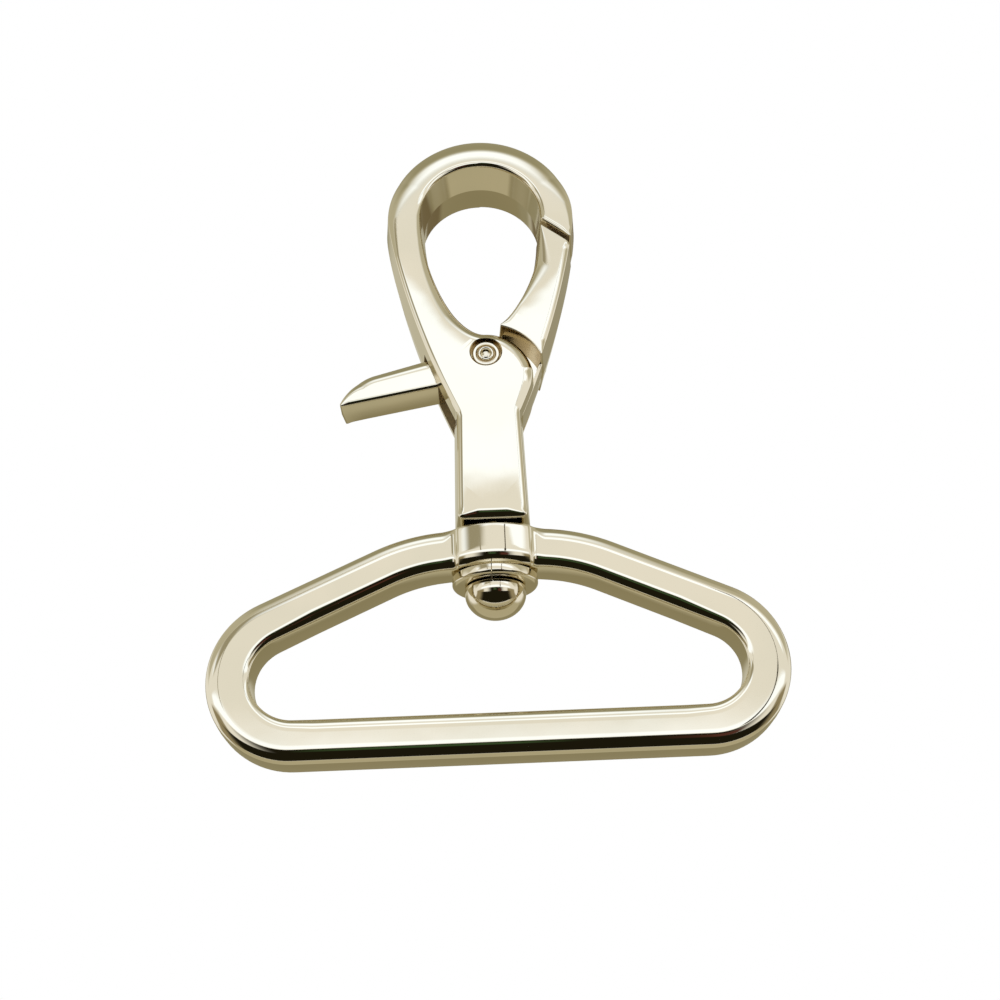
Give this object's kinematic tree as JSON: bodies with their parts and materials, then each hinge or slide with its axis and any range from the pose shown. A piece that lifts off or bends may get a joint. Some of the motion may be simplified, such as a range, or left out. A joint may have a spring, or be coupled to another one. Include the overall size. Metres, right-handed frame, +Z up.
{
  "type": "swivel snap hook",
  "caption": "Pear-shaped snap hook with a sprung trigger gate, turning on a domed post in the collar of a triangular strap loop.",
  "frame": {"origin": "middle of the strap bar's upper face, inside the loop", "axes": "+Z up along the swivel's axis towards the eye, +X along the strap bar with the trigger on -X, +Y through the hook's depth"},
  "size_m": [0.0446, 0.0068, 0.0558],
  "materials": {
    "hook_plating": "polished zinc casting, bright light-gold plating",
    "lever_plating": "polished zinc casting, bright light-gold plating",
    "loop_plating": "polished zinc casting, bright light-gold plating",
    "post_plating": "turned pin, bright light-gold plating",
    "washer_plating": "pressed washer, bright light-gold plating",
    "rivet_plating": "tubular rivet, bright light-gold plating",
    "spring_steel": "drawn spring wire, bare"
  },
  "bodies": {
    "hook": {"hook_body": "hook_plating", "pivot_rivet": "rivet_plating", "swivel_post": "post_plating", "gate_spring": "spring_steel"},
    "gate": {"gate_lever": "lever_plating"},
    "loop": {"strap_loop": "loop_plating"},
    "washer": {"swivel_washer": "washer_plating"}
  },
  "joints": [
    {"name": "gate_pivot", "type": "hinge", "parent": "hook", "child": "gate", "pos_m": [0, 0, 0.03015], "axis": [0, -1, 0], "range_deg": [0, 38], "stiffness_Nm_per_rad": 0.02, "springref_deg": -34.38, "deforming": ["gate_spring"]},
    {"name": "loop_swivel", "type": "hinge", "parent": "hook", "child": "loop", "pos_m": [0, 0, 0.01325], "axis": [0, 0, 1], "continuous": true},
    {"name": "washer_spin", "type": "hinge", "parent": "hook", "child": "washer", "pos_m": [0, 0, 0.0109], "axis": [0, 0, 1], "continuous": true}
  ]
}
